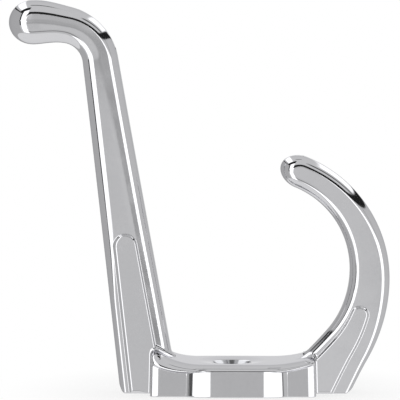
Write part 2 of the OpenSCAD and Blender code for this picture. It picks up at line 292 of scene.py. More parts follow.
@dataclass(frozen=True)
class Pad:
    """Raised tongue on an arm's side face, from the wall to a round end.

    Its margins are the distances from the arm's upper and lower edges.
    """

    length: float
    upper_margin: float
    lower_margin: float
    upper_edge_r: float
    lower_edge_r: float
    height: float = 0.45


@dataclass
class Arm:
    """A flat-sided arm with rounded edges, a pad at its foot and an oval end.

    Widths are given at the wall and at the end of each leg. The edges are sharper at the foot,
    up to the length `foot_end`, and full from `foot_blend` on. The tip's edge radius and thickness
    come in smoothly from the leg `swell_leg` on, and the nose has an edge radius of its own.
    """

    foot_z: float
    lean: float
    widths: Sequence[float]
    nose: float
    upper_edge_r: float
    lower_edge_r: float
    tip_edge_r: float
    tip_thickness: float
    nose_edge_r: float
    swell_leg: int
    foot_corner_r: float
    outer: Side
    pad: Pad
    foot_end: float
    foot_blend: float
    upper_foot_edge_r: float
    lower_foot_edge_r: float = 2.0
    upper_drop_share: float = 1.0
    upper_foot_drop_share: float = 1.0
    facet_slope: float = 0.0
    facet_soft: float = 1.2
    facet_start: float = 0.0
    facet_drift: float = 0.0
    tip_crown: float = 0.0
    thickness: float = 8.0
    wall_edge_r: float = 0.35
    # how far from the centre line the upper edge's sizes have taken over
    edge_blend: float = 1.0
    pad_edge_blend: float = 2.0

    def legs(self) -> list[Leg]:
        """Parts of the arm's centre line."""
        raise NotImplementedError

    def __post_init__(self) -> None:
        """Draws the centre line."""
        self.line = CentreLine(self.foot_z, self.lean, self.legs())

    def half_width(self, along: Array) -> Array:
        """Half the arm's width in the side view at a length along it."""
        return self.line.eased([width / 2.0 for width in self.widths], along)

    def edge_radii(self, place: Place, swell: Array) -> tuple[Array, Array]:
        """Radii of the rounded edges: in from the outline, and down from the side face.

        Args:
            place: The points' places by the centre line.
            swell: Share by which the tip has taken over.

        Returns:
            Both radii.
        """
        upper = ease(-self.edge_blend, self.edge_blend, place.height)
        out = ease(self.foot_end, self.foot_blend, place.along)
        radius = ramp(ramp(self.lower_foot_edge_r, self.lower_edge_r, out),
                      ramp(self.upper_foot_edge_r, self.upper_edge_r, out), upper)
        radius = ramp(radius, self.tip_edge_r, swell)
        end_on = (place.beyond / self.nose) ** 2
        aside = (place.height / self.half_width(place.along)) ** 2
        radius = ramp(radius, self.nose_edge_r, end_on / np.maximum(end_on + aside, TINY))
        share = ramp(self.upper_foot_drop_share, self.upper_drop_share, out)
        return radius, radius * ramp(1.0, share, upper * (1.0 - swell))

    def distances(self, x: Array, z: Array, p: Array) -> tuple[Array, Array]:
        """Distances to the arm and to its pad.

        Args:
            x, z, p: The points, with x 0 or above.

        Returns:
            The distance to the arm and the distance to the pad.
        """
        place = self.line.nearest(z, p)
        half_width = self.half_width(place.along)
        outline = np.where(place.beyond > 0.0,
                           oval_end(place.beyond, place.height, half_width, self.nose),
                           np.abs(place.height) - half_width)
        swell = ease(self.line.knots[self.swell_leg], self.line.length, place.along)
        inward, down = self.edge_radii(place, swell)
        half = ramp(self.thickness / 2.0, self.tip_thickness / 2.0, swell)
        past = np.maximum(self.facet_start + self.facet_drift * place.along - place.height, 0.0)
        bent = np.minimum(past, self.facet_soft)
        facet = self.facet_slope * (bent**2 / (2.0 * self.facet_soft) + past - bent)
        side = x - half + ramp(facet, self.tip_crown * place.height**2, swell)
        arm = oval_overlap(outline, side, inward, down)
        # the round at the foot's outer corner fades out round the edge to the side face
        by_edge = np.maximum(outline + inward, 0.0) ** 2
        by_side = np.maximum(side + down, 0.0) ** 2
        outside = ease(-self.edge_blend, self.edge_blend, self.outer.value * place.height)
        corner = ramp(self.wall_edge_r, self.foot_corner_r,
                      outside * by_edge / np.maximum(by_edge + by_side, TINY))
        arm = rounded_overlap(arm, -p, corner)

        pad = self.pad
        margin = (pad.upper_margin + pad.lower_margin) / 2.0
        across = place.height - (pad.lower_margin - pad.upper_margin) / 2.0
        end_half = float(self.half_width(np.array(pad.length))) - margin
        run = np.maximum(place.along - (pad.length - end_half), 0.0)
        pad_edge = np.hypot(run, across) - (half_width - margin)
        pad_r = ramp(pad.lower_edge_r, pad.upper_edge_r, ease(0.0, self.pad_edge_blend, across))
        tongue = rounded_overlap(pad_edge, -p, self.wall_edge_r)
        return arm, rounded_overlap(tongue, x - self.thickness / 2.0 - pad.height, pad_r)


@dataclass
class HatArm(Arm):
    """Long tapering arm that rises off the base, bends and ends in a bulbous knob."""

    rise: float = 92.4
    bend_r: float = 10.4
    bend_turn: float = 69.5
    sweep_r: float = 33.0
    sweep_turn: float = 15.0
    foot_z: float = 20.65
    lean: float = 8.3
    widths: Sequence[float] = (14.4, 8.75, 9.1, 11.0)
    nose: float = 6.1
    upper_edge_r: float = 2.9
    lower_edge_r: float = 2.2
    tip_edge_r: float = 3.5
    tip_thickness: float = 9.4
    nose_edge_r: float = 4.7
    swell_leg: int = 1
    foot_corner_r: float = 2.5
    outer: Side = Side.UPPER
    pad: Pad = Pad(40.2, 2.4, 3.6, 0.9, 0.4)
    foot_end: float = 22.0
    foot_blend: float = 44.0
    upper_foot_edge_r: float = 1.6
    upper_drop_share: float = 0.75
    upper_foot_drop_share: float = 1.4
    # a shallow facet leans the side face back along the lower edge, and narrows to the wall
    facet_slope: float = 0.062
    facet_start: float = -3.2
    facet_drift: float = 0.0435
    # the knob's sides are crowned both ways instead
    tip_crown: float = 0.012

    def legs(self) -> list[Leg]:
        """Works out the arm's parts: the straight makes up what the bends leave of the rise.

        Returns:
            The straight, the bend and the sweep.
        """
        lean, bent = math.radians(self.lean), math.radians(self.lean + self.bend_turn)
        level = bent + math.radians(self.sweep_turn)
        bends = (self.bend_r * (math.sin(bent) - math.sin(lean))
                 + self.sweep_r * (math.sin(level) - math.sin(bent)))
        return [Leg(length=(self.rise - bends) / math.cos(lean)),
                Leg(radius=self.bend_r, turn=self.bend_turn),
                Leg(radius=self.sweep_r, turn=self.sweep_turn)]


@dataclass
class CoatProng(Arm):
    """Shorter prong that curls up in a C below the base."""

    drop: float = 34.35
    low_r: float = 31.9
    low_turn: float = 31.8
    high_r: float = 27.5
    high_turn: float = 71.1
    foot_z: float = -20.4
    lean: float = -35.2
    widths: Sequence[float] = (16.4, 12.2, 9.95, 8.05)
    nose: float = 5.4
    upper_edge_r: float = 2.3
    lower_edge_r: float = 2.1
    tip_edge_r: float = 2.7
    tip_thickness: float = 8.0
    nose_edge_r: float = 3.4
    swell_leg: int = 2
    foot_corner_r: float = 1.6
    outer: Side = Side.LOWER
    pad: Pad = Pad(25.2, 2.4, 4.1, 0.5, 0.6)
    foot_end: float = 6.0
    foot_blend: float = 32.0
    upper_foot_edge_r: float = 1.5
    lower_foot_edge_r: float = 1.2

    def legs(self) -> list[Leg]:
        """Works out the prong's parts: the straight makes up what the curves leave of the drop.

        Returns:
            The straight foot, the low curve and the high one.
        """
        lean, low = math.radians(self.lean), math.radians(self.lean + self.low_turn)
        curves = self.low_r * (math.cos(low) - math.cos(lean)) + self.high_r * (1.0 - math.cos(low))
        return [Leg(length=(self.drop + self.foot_z - curves) / math.sin(-lean)),
                Leg(radius=self.low_r, turn=self.low_turn),
                Leg(radius=self.high_r, turn=self.high_turn)]


@dataclass
class MountingBase:
    """Low base that lies on the wall: a block with a bulge on each side of the screw hole.

    It has rounded shoulders, and its front sweeps up to both arms. Beside the bulge the block's
    sides stand back under a smooth brim.
    """

    thickness: float = 7.9
    width: float = 23.2
    block_width: float = 19.9
    up: float = 20.0
    down: float = 20.6
    # the bulge, seen from the front: a nearly flat middle and round ends
    bulge_z: float = -1.25
    bulge_flat_half: float = 5.95
    bulge_flat_r: float = 220.0
    bulge_end_r: float = 14.0
    bulge_fillet_r: float = 0.15
    # the brim over the sides, and how far below the shoulder it starts and ends to stand back
    brim_r: float = 150.0
    brim_depth: float = 0.1
    ledge_depth: float = 0.7
    # the block's corners, seen from the front
    corner_along: float = 2.4
    corner_across: float = 0.7
    corner_blend: float = 3.0
    draft: float = 6.0
    end_draft: float = 1.5
    shoulder_w: float = 3.8
    shoulder_drop: float = 1.5
    upper_end_drop: float = 2.6
    lower_end_drop: float = 1.1
    end_r: float = 2.0
    flat_up: float = 8.0
    flat_down: float = 9.5
    hat_root_r: float = 20.0
    coat_root_r: float = 34.0
    dish_r: float = 9.0
    dish_depth: float = 0.61
    wall_edge_r: float = 0.35

    def side(self, x: Array, z: Array, depth: Array) -> Array:
        """Distance to the base's sides, seen from the front: the block joined to its bulge.

        Args:
            x, z: The points in the front view, with x 0 or above.
            depth: How far below the shoulder each point is.

        Returns:
            The distance, below 0 inside.
        """
        run = np.abs(z - self.bulge_z)
        past = np.maximum(run - self.bulge_flat_half, 0.0)
        crown = np.minimum(run, self.bulge_flat_half) ** 2 / (2.0 * self.bulge_flat_r)
        out = x - self.width / 2.0 + self.bulge_end_r + crown
        bulge = np.hypot(out, past) - self.bulge_end_r
        brim = self.width / 2.0 - run**2 / (2.0 * self.brim_r)
        back = ease(self.brim_depth, self.ledge_depth, depth)
        block = x - ramp(brim, self.block_width / 2.0, back)
        return filleted_union(block, bulge, self.bulge_fillet_r)

    def distance(self, x: Array, z: Array, p: Array) -> Array:
        """Distance to the base.

        Args:
            x, z, p: The points, with x 0 or above.

        Returns:
            The distance, below 0 inside.
        """
        upper = z > 0.0
        # past the flat part of the front, it sweeps up to the arm
        run = np.where(upper, z - self.flat_up, -z - self.flat_down)
        radius = np.where(upper, self.hat_root_r, self.coat_root_r)
        below = np.minimum(p - self.thickness - radius, 0.0)
        shallow = np.maximum(1.0 - (x * x + z * z) / self.dish_r**2, 0.0)
        front = radius - np.hypot(np.maximum(run, 0.0), below) + self.dish_depth * shallow**2
        reach = np.where(upper, self.up - self.flat_up, self.down - self.flat_down)
        end_drop = np.where(upper, self.upper_end_drop, self.lower_end_drop)
        drop = ramp(self.shoulder_drop, end_drop, ease(0.0, reach, run))
        depth = -front - drop
        side_lean, end_lean = (math.tan(math.radians(d)) for d in (self.draft, self.end_draft))
        side = self.side(x, z, depth) - depth * side_lean
        end = np.maximum(z - self.up, -z - self.down) - depth * end_lean
        plan = oval_overlap(side, end, self.corner_across, self.corner_along)
        along_side = oval_overlap(plan, front, self.shoulder_w, drop)
        along_end = oval_overlap(plan, front, self.end_r, self.end_r)
        to_end = ease(-self.corner_blend, self.corner_blend, end - side)
        body = along_side + (along_end - along_side) * to_end
        return rounded_overlap(body, -p, self.wall_edge_r)


@dataclass
class ScrewHole:
    """Through hole for a 4.5 mm wood screw, with a 90 degree countersink for its head."""

    bore_d: float = 5.0
    countersink_d: float = 9.6
    mouth_p: float = 7.59
    bore_edge_r: float = 0.2
    mouth_edge_r: float = 0.15
    # the cone is cut to this height above its mouth
    clearance: float = 1.0

    def cut(self, solid: Array, x: Array, z: Array, p: Array) -> Array:
        """Takes the hole out of a solid.

        Args:
            solid: Distance to the solid.
            x, z, p: The points.

        Returns:
            The distance to what is left.
        """
        out = np.hypot(x, z)
        bored = rounded_overlap(solid, self.bore_d / 2.0 - out, self.bore_edge_r)
        cone = (self.countersink_d / 2.0 - out + p - self.mouth_p) * math.sqrt(0.5)
        head = np.minimum(cone, self.mouth_p + self.clearance - p)
        return rounded_overlap(bored, head, self.mouth_edge_r)


@dataclass
class Casting:
    """The whole hook: base, hat arm and coat prong run together, pads raised, hole cut."""

    base: MountingBase = field(default_factory=MountingBase)
    hat: HatArm = field(default_factory=HatArm)
    coat: CoatProng = field(default_factory=CoatProng)
    hole: ScrewHole = field(default_factory=ScrewHole)
    arm_fillet_r: float = 1.2
    pad_fillet_r: float = 0.25

    def distance(self, x: Array, z: Array, p: Array) -> Array:
        """Distance to the casting's surface.

        Args:
            x, z, p: The points, on either side of the middle plane.

        Returns:
            The distance, below 0 inside.
        """
        x = np.abs(x)
        hat, hat_pad = self.hat.distances(x, z, p)
        coat, coat_pad = self.coat.distances(x, z, p)
        solid = filleted_union(self.base.distance(x, z, p), np.minimum(hat, coat),
                               self.arm_fillet_r)
        solid = filleted_union(solid, np.minimum(hat_pad, coat_pad), self.pad_fillet_r)
        return self.hole.cut(solid, x, z, p)

    def make(self, finish: ChromePlate) -> bpy.types.Object:
        """Makes the hook's mesh and dresses it.

        Args:
            finish: Its finish.

        Returns:
            The finished piece, riding on the frame in place of the CAD's casting.
        """
        low, high = (np.array(corner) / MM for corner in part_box("hook_casting"))
        skin = Skin(self.distance, np.array([low[0], low[2], -high[1]]),
                    np.array([high[0], high[2], -low[1]]))
        points, normals, faces = skin.whole()
        turned = to_blender(points)
        places = np.clip(turned, low, high)
        mesh = bpy.data.meshes.new("cast_hook")
        mesh.from_pydata((places * MM).tolist(), [], faces.tolist())
        mesh.polygons.foreach_set("use_smooth", [True] * len(mesh.polygons))
        mesh.normals_split_custom_set_from_vertices(to_blender(normals).tolist())
        mesh.materials.append(finish.build())
        piece = bpy.data.objects.new("cast_hook", mesh)
        bpy.context.scene.collection.objects.link(piece)
        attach(piece, "root")
        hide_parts("hook_casting")
        log.info("the skin is pressed in by %.3f mm at most", np.abs(places - turned).max())
        return piece


# ---- the skin


def to_blender(points: Array) -> Array:
    """Turns points or directions (x, z, p) to Blender's axes, without the change of unit."""
    return np.stack([points[:, 0], -points[:, 2], points[:, 1]], axis=1)


def sides_of(faces: Array) -> tuple[Array, Array]:
    """Finds the sides of triangles.

    Args:
        faces: The triangles.

    Returns:
        All sides, each once, and the numbers of each triangle's three sides.
    """
    pairs = np.concatenate([faces[:, [0, 1]], faces[:, [1, 2]], faces[:, [2, 0]]])
    sides, numbers = np.unique(np.sort(pairs, axis=1), axis=0, return_inverse=True)
    return sides, numbers.reshape(3, -1).T


# How a triangle is divided, by which of its sides are. Corners are 0 to 2, and the middles of the
# sides that follow them are 3 to 5. The other cases are these, counted from another corner.
DIVIDED = {
    (True, False, False): ((0, 3, 2), (3, 1, 2)),
    (True, True, False): ((3, 1, 4), (0, 3, 4), (0, 4, 2)),
}
DIVIDED_IN_FOUR = ((0, 3, 5), (1, 4, 3), (2, 5, 4), (3, 4, 5))


@dataclass
class Skin:
    """A triangle mesh drawn over a surface that mirrors in the plane x = 0.

    Args:
        distance: Distance to the surface from points (x, z, p).
        low, high: Corners of the space that holds it.
        step: Spacing of the first net, in mm.
        smooth_turn: Turn of the surface, in degrees, over a side of a triangle that is too much.
        flank_turn: The same on the flat flanks, whose long highlights need clean edges.
        flank: Part of the normal along x that makes a surface a flank.
        finest: Sides shorter than this aren't divided.
        rounds: How often the net is divided.
        probe: How far from a point its slope is measured.
        least_slope: Squared slope below which a point moves as if it were steeper.
        first_passes, last_passes: How often the first net and the last one are evened out.
        pull: Share of the way to the middle of its neighbours that a point then moves.
    """

    distance: Distance
    low: Array
    high: Array
    step: float = 0.45
    smooth_turn: float = 8.0
    flank_turn: float = 1.5
    flank: float = 0.945
    finest: float = 0.11
    rounds: int = 3
    probe: float = 0.004
    least_slope: float = 0.05
    first_passes: int = 3
    last_passes: int = 1
    pull: float = 0.5

    def gradient(self, points: Array) -> Array:
        """Slope of the distance at points, by central differences."""
        return np.stack([self.distance(*(points + shift).T) - self.distance(*(points - shift).T)
                         for shift in self.probe * np.eye(3)], axis=1) / (2.0 * self.probe)

    def normals(self, points: Array) -> Array:
        """Direction in which the distance grows at points."""
        slope = self.gradient(points)
        return slope / np.maximum(np.linalg.norm(slope, axis=1, keepdims=True), TINY)

    def settle(self, points: Array, passes: int = 4) -> Array:
        """Moves points onto the surface, and those of the middle plane along it.

        Args:
            points: Points near the surface.
            passes: How often each is moved.

        Returns:
            The moved points.
        """
        middle = points[:, 0] < TINY
        for _ in range(passes):
            slope = self.gradient(points)
            slope[middle, 0] = 0.0
            size = np.maximum(np.sum(slope**2, axis=1), self.least_slope)
            move = -self.distance(*points.T) / size
            length = np.abs(move) * np.linalg.norm(slope, axis=1)
            move *= np.minimum(1.0, self.step / 2.0 / np.maximum(length, TINY))
            points = points + move[:, None] * slope
            points[:, 0] = np.maximum(points[:, 0], 0.0)
        return points

    def first_net(self) -> tuple[Array, Array]:
        """Draws one point in each cell that the surface passes, and joins neighbours.

        Returns:
            The points (x, z, p) and the triangles of the half on the x side.
        """
        h = self.step
        room = 2.0 * h
        start = np.array([-h / 2.0, self.low[1] - room, self.low[2] - room])
        count = np.ceil((self.high + room - start) / h).astype(int) + 1
        axes = [start[axis] + h * np.arange(count[axis]) for axis in range(3)]
        values = self.distance(*np.meshgrid(*axes, indexing="ij"))
        cells = tuple(count - 1)
        corners = list(itertools.product((0, 1), repeat=3))
        around = {corner: values[tuple(slice(c, c + n) for c, n in zip(corner, cells))]
                  for corner in corners}
        filled = sum((around[corner] < 0.0).astype(np.int8) for corner in corners)
        crossed = np.nonzero((filled > 0) & (filled < 8))
        total, share = np.zeros((len(crossed[0]), 3)), np.zeros(len(crossed[0]))
        for a, b in itertools.combinations(corners, 2):
            if sum(abs(i - j) for i, j in zip(a, b)) != 1:
                continue
            low, high = around[a][crossed], around[b][crossed]
            cut = (low < 0.0) != (high < 0.0)
            t = np.where(cut, low / np.where(cut, low - high, 1.0), 0.0)
            at = np.array(a) + t[:, None] * (np.array(b) - np.array(a))
            total += np.where(cut[:, None], at, 0.0)
            share += cut
        points = start + h * (np.stack(crossed, axis=1) + total / share[:, None])
        points[crossed[0] == 0, 0] = 0.0
        number = np.full(cells, -1)
        number[crossed] = np.arange(len(points))

        quads = []
        inside = values < 0.0
        units = np.eye(3, dtype=int)
        for axis, unit in enumerate(units):
            near, far = [slice(1, -1)] * 3, [slice(1, -1)] * 3
            near[axis], far[axis] = slice(0, -1), slice(1, None)
            change = inside[tuple(near)] != inside[tuple(far)]
            at = np.stack(np.nonzero(change), axis=1) + 1 - unit
            one, two = np.delete(units, axis, axis=0)
            quad = np.stack([number[tuple((at - offset).T)]
                             for offset in (one + two, two, 0 * unit, one)], axis=1)
            flip = inside[tuple(at.T)] == (axis == 1)
            quad[flip] = quad[flip][:, ::-1]
            quads.append(quad)
        quad = np.concatenate(quads)
        return points, np.concatenate([quad[:, [0, 1, 2]], quad[:, [0, 2, 3]]])

    def relaxed(self, points: Array, faces: Array, passes: int) -> Array:
        """Evens out the net: each point moves along the surface to the middle of its neighbours.

        Args:
            points: The net's points.
            faces: Its triangles.
            passes: How often each point moves.

        Returns:
            The moved points.
        """
        sides = sides_of(faces)[0]
        ends = np.concatenate([sides, sides[:, ::-1]])
        count = np.bincount(ends[:, 0], minlength=len(points))
        middle = points[:, 0] < TINY
        for _ in range(passes):
            mean = np.stack([np.bincount(ends[:, 0], points[ends[:, 1], axis],
                                         minlength=len(points)) for axis in range(3)], axis=1)
            mean /= np.maximum(count, 1)[:, None]
            normal = self.normals(points)
            move = mean - points
            move -= np.sum(move * normal, axis=1, keepdims=True) * normal
            move[middle, 0] = 0.0
            points = self.settle(points + self.pull * move, passes=2)
            points[middle, 0] = 0.0
        return points

    def divided(self, points: Array, faces: Array) -> tuple[Array, Array]:
        """Divides the sides over which the surface turns too far, and their triangles.

        Args:
            points: The net's points.
            faces: Its triangles.

        Returns:
            The points and triangles of the finer net.
        """
        normal = self.normals(points)
        sides, side_of = sides_of(faces)
        a, b = sides.T
        flank = np.minimum(normal[a, 0], normal[b, 0]) > self.flank
        most = np.where(flank, math.radians(self.flank_turn), math.radians(self.smooth_turn))
        turn = np.sum(normal[a] * normal[b], axis=1) < np.cos(most)
        split = turn & (np.linalg.norm(points[a] - points[b], axis=1) > self.finest)
        fresh = self.settle((points[a[split]] + points[b[split]]) / 2.0)
        middle = np.full(len(sides), -1)
        middle[split] = len(points) + np.arange(len(fresh))
        mid = middle[side_of]
        cut = mid >= 0
        spots = np.concatenate([faces, mid], axis=1)
        made = [faces[~cut.any(axis=1)]]
        for turned in range(3):
            order = [(turned + k) % 3 for k in range(3)]
            both = order + [3 + k for k in order]
            for case, triangles in DIVIDED.items():
                fits = (cut[:, order] == case).all(axis=1)
                made += [spots[fits][:, both][:, triangle] for triangle in triangles]
        made += [spots[cut.all(axis=1)][:, triangle] for triangle in DIVIDED_IN_FOUR]
        return np.concatenate([points, fresh]), np.concatenate(made)

    def whole(self) -> tuple[Array, Array, Array]:
        """Draws the finished net over both halves.

        Returns:
            The points (x, z, p), their normals and the triangles.
        """
        points, faces = self.first_net()
        points = self.relaxed(self.settle(points), faces, self.first_passes)
        for _ in range(self.rounds):
            points, faces = self.divided(points, faces)
        points = self.relaxed(points, faces, self.last_passes)
        normal = self.normals(points)
        middle = points[:, 0] < TINY
        normal[middle, 0] = 0.0
        twin = np.arange(len(points))
        twin[~middle] = len(points) + np.arange(np.count_nonzero(~middle))
        mirror = np.array([-1.0, 1.0, 1.0])
        return (np.concatenate([points, points[~middle] * mirror]),
                np.concatenate([normal, normal[~middle] * mirror]),
                np.concatenate([faces, twin[faces][:, ::-1]]))


# ---- finishes


# Blender's numbers of the Mix node's inputs A and B, whose names are the same for values and for
# colours, and of its colour output
VALUE_A, VALUE_B = 2, 3
COLOUR_A, COLOUR_B = 6, 7
MIXED_COLOUR = 2


def linear(hex_colour: str) -> tuple[float, ...]:
    """Turns an sRGB hex colour such as "#ced0d1" to linear light, with alpha 1."""
    values = [int(hex_colour[i:i + 2], 16) / 255.0 for i in (1, 3, 5)]
    return (*(v / 12.92 if v <= 0.04045 else ((v + 0.055) / 1.055) ** 2.4 for v in values), 1.0)


def empty_tree(owner: bpy.types.Material | bpy.types.World) -> bpy.types.NodeTree:
    """Turns on the nodes of a material or a world, and empties their tree.

    Args:
        owner: The material or the world.

    Returns:
        Its empty node tree.
    """
    owner.use_nodes = True
    owner.node_tree.nodes.clear()
    return owner.node_tree


def add_node(tree: bpy.types.NodeTree, kind: str, links: Mapping[Any, Any] | None = None,
             **settings: Any) -> bpy.types.Node:
    """Adds a node to a tree.

    Args:
        tree: The tree to add it to.
        kind: Blender's name for the kind of node, without the "ShaderNode" that it starts with.
        links: What goes into its inputs, by their names or numbers: an output socket, or a value.
        settings: Values of its own settings.

    Returns:
        The new node.
    """
    node = tree.nodes.new("ShaderNode" + kind)
    for name, value in settings.items():
        setattr(node, name, value)
    for name, value in (links or {}).items():
        if isinstance(value, bpy.types.NodeSocket):
            tree.links.new(value, node.inputs[name])
        else:
            node.inputs[name].default_value = value
    return node


@dataclass(frozen=True)
class Relief:
    """Waves in a surface: spacing and depth in mm, then how much finer detail rides on them."""

    spacing_mm: float
    depth_mm: float
    detail: float
    detail_share: float


@dataclass(frozen=True)
class ChromePlate:
    """Decorative chrome plate: nickel and a thin chromium flash over a polished zinc casting.

    Buffed by hand before plating, so it mirrors the room sharply, but flat faces keep the low
    swells of the polishing wheel, which bend the edges of what they reflect.
    """

    name: str = "chrome_plate_polished"
    # a neutral metal, barely cooler than grey
    colour: str = "#d5d5d7"
    worn_colour: str = "#cfcfd2"
    # chromium gains less at a glance than other metals do
    glancing_tint: str = "#dfdfe1"
    # clearest in the hollows of the swells, hazier on their crests, where the wheel rubbed most
    roughness: tuple[float, float] = (0.035, 0.085)
    hollow_and_crest: tuple[float, float] = (0.35, 0.65)
    # swells left by the polishing wheel
    swell: Relief = Relief(6.0, 0.0014, 2.0, 0.45)
    # fine orange peel of the plating bath, drawn coarse enough to show
    peel: Relief = Relief(0.9, 0.0005, 3.0, 0.5)
    # the screw hole is rougher, where the buffing wheel doesn't reach, and its colour is darkened
    # there as painted shade in the recess
    hole_r_mm: float = 4.75
    hole_edge_mm: float = 0.2
    hole_shade_colour: str = "#b4b5b8"
    hole_roughness: float = 0.12

    def build(self) -> bpy.types.Material:
        """Makes the material.

        Returns:
            The finished material.
        """
        material = bpy.data.materials.new(self.name)
        tree = empty_tree(material)
        place = add_node(tree, "TexCoord").outputs["Object"]
        swell, peel = (add_node(tree, "TexNoise",
                                {"Vector": place, "Scale": 1.0 / (relief.spacing_mm * MM),
                                 "Detail": relief.detail,
                                 "Roughness": relief.detail_share}).outputs["Fac"]
                       for relief in (self.swell, self.peel))
        rough = add_node(tree, "MapRange", {
            "Value": swell, "From Min": self.hollow_and_crest[0],
            "From Max": self.hollow_and_crest[1], "To Min": self.roughness[0],
            "To Max": self.roughness[1]})
        colour = add_node(tree, "Mix", {"Factor": peel, COLOUR_A: linear(self.colour),
                                        COLOUR_B: linear(self.worn_colour)}, data_type="RGBA")
        axes = add_node(tree, "SeparateXYZ", {0: place}).outputs
        out = add_node(tree, "CombineXYZ", {"X": axes["X"], "Y": axes["Z"]})
        far = add_node(tree, "VectorMath", {0: out.outputs[0]}, operation="LENGTH")
        inside = add_node(tree, "MapRange", {
            "Value": far.outputs["Value"], "From Min": (self.hole_r_mm - self.hole_edge_mm) * MM,
            "From Max": self.hole_r_mm * MM, "To Min": 1.0, "To Max": 0.0}).outputs["Result"]
        dull = add_node(tree, "Mix", {"Factor": inside, VALUE_A: rough.outputs["Result"],
                                      VALUE_B: self.hole_roughness}, data_type="FLOAT")
        # painted shade: the colour darkens inside the screw hole, standing in for shade in the
        # recess
        shade = add_node(tree, "Mix", {"Factor": inside, COLOUR_A: colour.outputs[MIXED_COLOUR],
                                       COLOUR_B: linear(self.hole_shade_colour)}, data_type="RGBA")
        swelled = add_node(tree, "Bump", {"Distance": self.swell.depth_mm * MM, "Height": swell})
        skin = add_node(tree, "Bump", {"Distance": self.peel.depth_mm * MM, "Height": peel,
                                       "Normal": swelled.outputs["Normal"]})
        plate = add_node(tree, "BsdfPrincipled", {
            "Base Color": shade.outputs[MIXED_COLOUR], "Metallic": 1.0,
            "Specular Tint": linear(self.glancing_tint), "Roughness": dull.outputs[0],
            "Normal": skin.outputs["Normal"]})
        add_node(tree, "OutputMaterial", {"Surface": plate.outputs["BSDF"]})
        return material


# ---- the studio


class Bearing(Enum):
    """How a light's place is given, as seen from the hook. The value is how soft its edges are."""

    # degrees round from the camera, to the right of the picture
    TURN = 0.7
    # degrees above the table
    LIFT = 0.8
    # run to the right of the picture for each unit of rise
    ACROSS = 0.05
    # run towards the camera for each unit of rise
    FORE = 0.04


FAR = math.inf
Limits = Mapping[Bearing, tuple[float, float]]


@dataclass(frozen=True)
class Glow:
    """One card, lamp or wall of the studio: how bright it is and where it starts and ends.

    A strength of 1 is the white of the background. Each later glow covers the earlier ones.
    """

    strength: float
    limits: Limits = field(default_factory=dict)


def studio_glows() -> dict[str, Glow]:
    """Sets up the tent and the lamps round the hook.

    Flat sides mirror what stands round the camera and below it. Two tall soft boxes beside it
    draw the white lines along the arms, and their dark edges the thin lines next to these. The
    black rim of a panel overhead, with two strips of lamps, draws the dark line along every top.

    Returns:
        The glows by name, from the farthest to the nearest.
    """
    turn, lift, across, fore = Bearing
    panel = (-1.17, 1.24)
    rim = (-1.34, 1.7)
    above = (0.0, FAR)
    return {
        "tent": Glow(0.71),
        "table_front": Glow(0.73, {lift: (-FAR, -4.2)}),
        "table_right": Glow(0.81, {turn: (0.8, 3.9), lift: (-9.0, -2.0)}),
        "tent_left": Glow(0.57, {turn: (-FAR, -48.0)}),
        "stool": Glow(0.77, {turn: (-2.4, 3.6), lift: (-4.5, -0.6)}),
        "stool_rail": Glow(0.42, {turn: (-8.0, 3.9), lift: (-0.5, 0.5)}),
        "camera_hood": Glow(0.55, {turn: (-8.0, 3.9), lift: (0.4, 2.7)}),
        "lamp_stand": Glow(0.65, {turn: (-8.0, 7.5), lift: (2.7, 8.0)}),
        "camera_body": Glow(0.46, {turn: (3.8, 7.5), lift: (-2.7, 1.2)}),
        "camera_stand": Glow(0.42, {turn: (3.8, 7.5), lift: (-9.5, -2.7)}),
        "table_edge": Glow(0.36, {turn: (-13.0, 6.0), lift: (-25.0, -17.0)}),
        "table_top": Glow(0.96, {lift: (-FAR, -38.0)}),
        "box_left": Glow(1.8, {turn: (-38.0, -5.2), lift: (-4.5, 43.0)}),
        "box_left_mid": Glow(1.8, {turn: (-38.0, -9.0), lift: (-14.0, -4.5)}),
        "box_left_low": Glow(1.8, {turn: (-38.0, -13.0), lift: (-33.0, -14.0)}),
        "box_right": Glow(1.8, {turn: (6.0, 42.0), lift: (-44.0, 7.0)}),
        "box_left_edge": Glow(0.03, {turn: (-47.0, -38.5), lift: (-8.0, 60.0)}),
        "box_right_edge": Glow(0.25, {turn: (42.5, 45.0), lift: (-30.0, 60.0)}),
        "box_left_flap": Glow(1.8, {turn: (-41.5, -36.0), lift: (2.7, 5.4)}),
        "box_left_seam": Glow(0.12, {turn: (-50.0, -41.5), lift: (2.7, 5.4)}),
        "panel_rim": Glow(0.02, {across: rim, fore: (-FAR, 8.8), lift: (0.5, FAR),
                                 turn: (-12.0, FAR)}),
        "panel_rim_left": Glow(0.02, {across: rim, fore: (-FAR, 1.1), lift: (0.5, FAR)}),
        "panel": Glow(0.79, {across: panel, fore: (-FAR, 2.15), lift: above, turn: (-15.0, FAR)}),
        "panel_left": Glow(0.79, {across: panel, fore: (-FAR, 0.5), lift: above}),
        "strip_left": Glow(1.8, {across: (-0.95, -0.42), fore: (-FAR, 0.45), lift: above}),
        "strip_right": Glow(1.8, {across: (0.6, 1.22), fore: (-FAR, 0.2), lift: above}),
        "panel_gap": Glow(0.1, {across: (-0.17, 0.17), fore: (0.08, 0.18), lift: above}),
        "strip_frame": Glow(0.17, {across: (0.5, 1.24), fore: (0.6, 1.0), lift: above}),
    }


